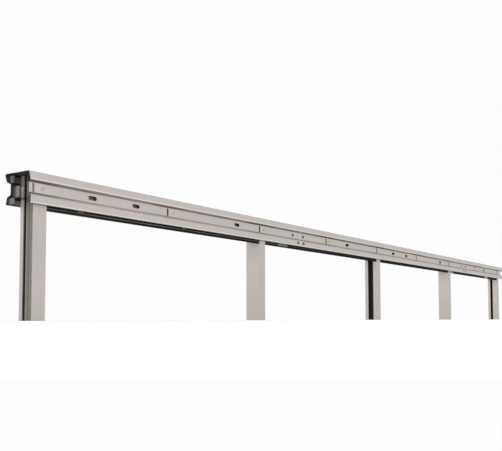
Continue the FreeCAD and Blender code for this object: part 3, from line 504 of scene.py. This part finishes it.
def seal_plastic():
    """Seal carrier: a painted highlight along the bead, patchy and fading to the right, dark elsewhere.
    """
    tree = Tree("seal_black")
    wave = tree.noise((9.0, 20.0, 2.0), 2.0)
    line = tree.ramp(tree.z, SEAL_BEAD_Z - 0.0009, SEAL_BEAD_Z + 0.0003)
    upper = tree.ramp(tree.z, SEAL_BEAD_Z + 0.0031, SEAL_BEAD_Z + 0.0043, 1.0, 0.0)
    patchy = tree.times(tree.times(line, upper), tree.ramp(wave, 0.35, 0.65, 0.45, 1.0))
    fading = tree.ramp(tree.x, FIRST_SLIT_X + PITCH * 1.2, FIRST_SLIT_X + PITCH * 3.4, 1.0, 0.12)
    colour = tree.mix(tree.times(patchy, fading), SEAL_DARK, SEAL_HIGHLIGHT)
    scratches = tree.noise((6.0, 1200.0, 1200.0), 3.0)
    tree.bump(scratches, 0.00006, 0.6)
    return tree.finish(colour, tree.ramp(scratches, 0.3, 0.7, 0.45, 0.65), specular=0.08)


def brush_pile():
    """Dense upright pile: streaks along Z, greyer at the tips, and dusty towards the left end."""
    tree = Tree("brush_black")
    fibres = tree.noise((2600.0, 500.0, 25.0), 3.0, 0.7)
    tips = tree.ramp(tree.z, BRUSH_LOW_Z, BRUSH_LOW_Z + 0.0045, 1.0, 0.0)
    tipped = tree.mix(tree.times(tips, tree.ramp(fibres, 0.3, 0.7)), BRUSH_DARK, BRUSH_TIP)
    dusty = tree.ramp(tree.x, FIRST_SLIT_X + PITCH * 0.3, FIRST_SLIT_X + PITCH * 1.6, 0.75, 0.0)
    root = tree.times(tree.ramp(tree.z, SEAL_BEAD_Z - 0.0030, SEAL_BEAD_Z - 0.0010, 0.0, 0.35), dusty)
    mixed = tree.mix(tree.most(tree.times(tips, dusty), root), tipped, BRUSH_DUST)
    tree.bump(fibres, 0.0002, 0.8)
    return tree.finish(mixed, tree.ramp(fibres, 0.3, 0.7, 0.75, 0.95), specular=0.04)


def coupler_plastic():
    """Grey moulded couplers, with painted light and shade: the front one is painted darkest and the low
    rear one palest.
    """
    tree = Tree("coupler_grey")
    fine = tree.noise((500.0, 500.0, 500.0), 3.0)
    scuffs = tree.noise((24.0, 60.0, 60.0), 4.0, 0.6)
    # painted light on the low rear coupler and painted shade on the front one
    rear = tree.mix(tree.below(tree.z, WEB_LOW_Z), COUPLER_GREY, COUPLER_PAINTED_LIGHT)
    base = tree.mix(tree.below(tree.y, 0.0), rear, COUPLER_SHADE_AND_SCUFF)
    scuffed = tree.mix(tree.ramp(scuffs, 0.40, 0.65, 0.0, 0.4), base, COUPLER_SHADE_AND_SCUFF)
    tree.bump(fine, 0.00008, 0.6)
    return tree.finish(scuffed, tree.ramp(scuffs, 0.3, 0.7, 0.5, 0.7), specular=0.3)


def channel_plastic():
    """Black door channels; the first one, deep between its studs, is painted blackest as shade."""
    tree = Tree("channel_black")
    fine = tree.noise((60.0, 60.0, 4.0), 3.0)
    scuffs = tree.noise((24.0, 24.0, 6.0), 4.0, 0.6)
    worn = tree.mix(tree.ramp(scuffs, 0.45, 0.70), PLASTIC_BLACK, PLASTIC_BLACK_WORN)
    # painted shade: the first channel is set near-black
    colour = tree.mix(tree.below(tree.x, AFTER_FIRST_POST_X), worn, SEAL_DARK)
    tree.bump(fine, 0.00008, 0.6)
    return tree.finish(colour, tree.ramp(scuffs, 0.3, 0.7, 0.50, 0.68), specular=0.08)


# ---------------------------------------------------------------- put the materials on the nodes

def paint():
    """The first rule whose word is in a node's name gives its material."""
    zinc = inner_steel("inner_steel", ZINC, ZINC_DARK)
    trolley = inner_steel("trolley_steel", ZINC, ZINC_DARK)
    light_screw = screw_steel("fixing_screw", SCREW_LIGHT, SCREW_LIGHT_DIRT)
    dark_screw = screw_steel("splice_screw", SCREW_DARK, SCREW_DARK_DUST)
    rail = track_aluminium()
    nylon = moulded("wheel_nylon", NYLON, NYLON_WORN, (300.0, 300.0, 300.0), 0.4)
    rubber = moulded("bumper_rubber", RUBBER, RUBBER_WORN, (350.0, 350.0, 350.0), 0.8)
    rules = (
        ("shell", shell_steel()), ("fixing_screws", light_screw), ("splice_screws", dark_screw),
        ("door_channel", channel_plastic()), ("post_saddles", zinc), ("post_", post_steel()),
        ("track_left", rail), ("track_right", rail), ("track_screws", light_screw),
        ("stop_bumpers", rubber), ("band_coupler", coupler_plastic()), ("end_tongue", tongue_plate()),
        ("seal_carriers", seal_plastic()), ("seal_brushes", brush_pile()), ("seal_clips", clip_steel()),
        ("wheels", nylon), ("trolley_", trolley), ("", zinc),
    )
    for name, node in frame["nodes"].items():
        material = next(found for word, found in rules if word in name)
        node.data.materials.clear()
        node.data.materials.append(material)


# ---------------------------------------------------------------- floor, light and camera

def floor():
    """Pale matt floor, half a millimetre under the uprights."""
    bpy.ops.mesh.primitive_plane_add(size=60.0, location=(0.0, 0.0, -0.0005))
    plane = bpy.context.object
    plane.name = "floor"
    tree = Tree("floor")
    cloud = tree.noise((0.6, 0.6, 0.6), 3.0)
    tree.bump(tree.noise((80.0, 80.0, 80.0), 2.0), 0.0003, 0.3)
    colour = tree.mix(cloud, FLOOR_CLOUD, FLOOR_WHITE)
    plane.data.materials.append(tree.finish(colour, 0.9, specular=0.0))


def world():
    scene = bpy.context.scene
    scene.world = bpy.data.worlds.new("studio")
    scene.world.use_nodes = True
    background = scene.world.node_tree.nodes["Background"]
    background.inputs["Color"].default_value = (1.0, 1.0, 1.0, 1.0)
    background.inputs["Strength"].default_value = 0.98
    scene.view_settings.view_transform = "Standard"
    scene.view_settings.look = "None"


def soft_light(name, place, target, width, height, power):
    data = bpy.data.lights.new(name, "AREA")
    data.shape = "RECTANGLE"
    data.size = width
    data.size_y = height
    data.energy = power
    lamp = bpy.data.objects.new(name, data)
    lamp.location = place
    lamp.rotation_euler = (Vector(target) - Vector(place)).to_track_quat("-Z", "Y").to_euler()
    bpy.context.scene.collection.objects.link(lamp)


def soft_sun(name, heading, strength, spread):
    """Even light from one direction, softened over the given angle in degrees."""
    data = bpy.data.lights.new(name, "SUN")
    data.energy = strength
    data.angle = math.radians(spread)
    lamp = bpy.data.objects.new(name, data)
    lamp.rotation_euler = Vector(heading).to_track_quat("-Z", "Y").to_euler()
    bpy.context.scene.collection.objects.link(lamp)


def lights():
    soft_light("key", place=(-1.0, -4.5, 0.9), target=(0.0, 0.0, 0.35), width=5.0, height=1.2, power=30.0)
    soft_sun("left", heading=(1.0, 0.12, -0.05), strength=1.05, spread=50.0)


def camera():
    """Low camera off the left end, looking along the header; its height is level with the feet."""
    data = bpy.data.cameras.new("camera")
    data.sensor_width = SENSOR_WIDTH
    data.lens = LENS
    data.shift_y = LENS_SHIFT
    data.clip_start = 0.05
    data.clip_end = 100.0
    eye = bpy.data.objects.new("camera", data)
    level = math.cos(CAMERA_PITCH)
    aim = Vector((math.cos(CAMERA_YAW) * level, math.sin(CAMERA_YAW) * level, math.sin(CAMERA_PITCH)))
    turn = aim.to_track_quat("-Z", "Y").to_matrix() @ Matrix.Rotation(CAMERA_ROLL, 3, "Z")
    eye.location = CAMERA_PLACE
    eye.rotation_euler = turn.to_euler()
    bpy.context.scene.collection.objects.link(eye)
    bpy.context.scene.camera = eye


paint()
floor()
world()
lights()
camera()
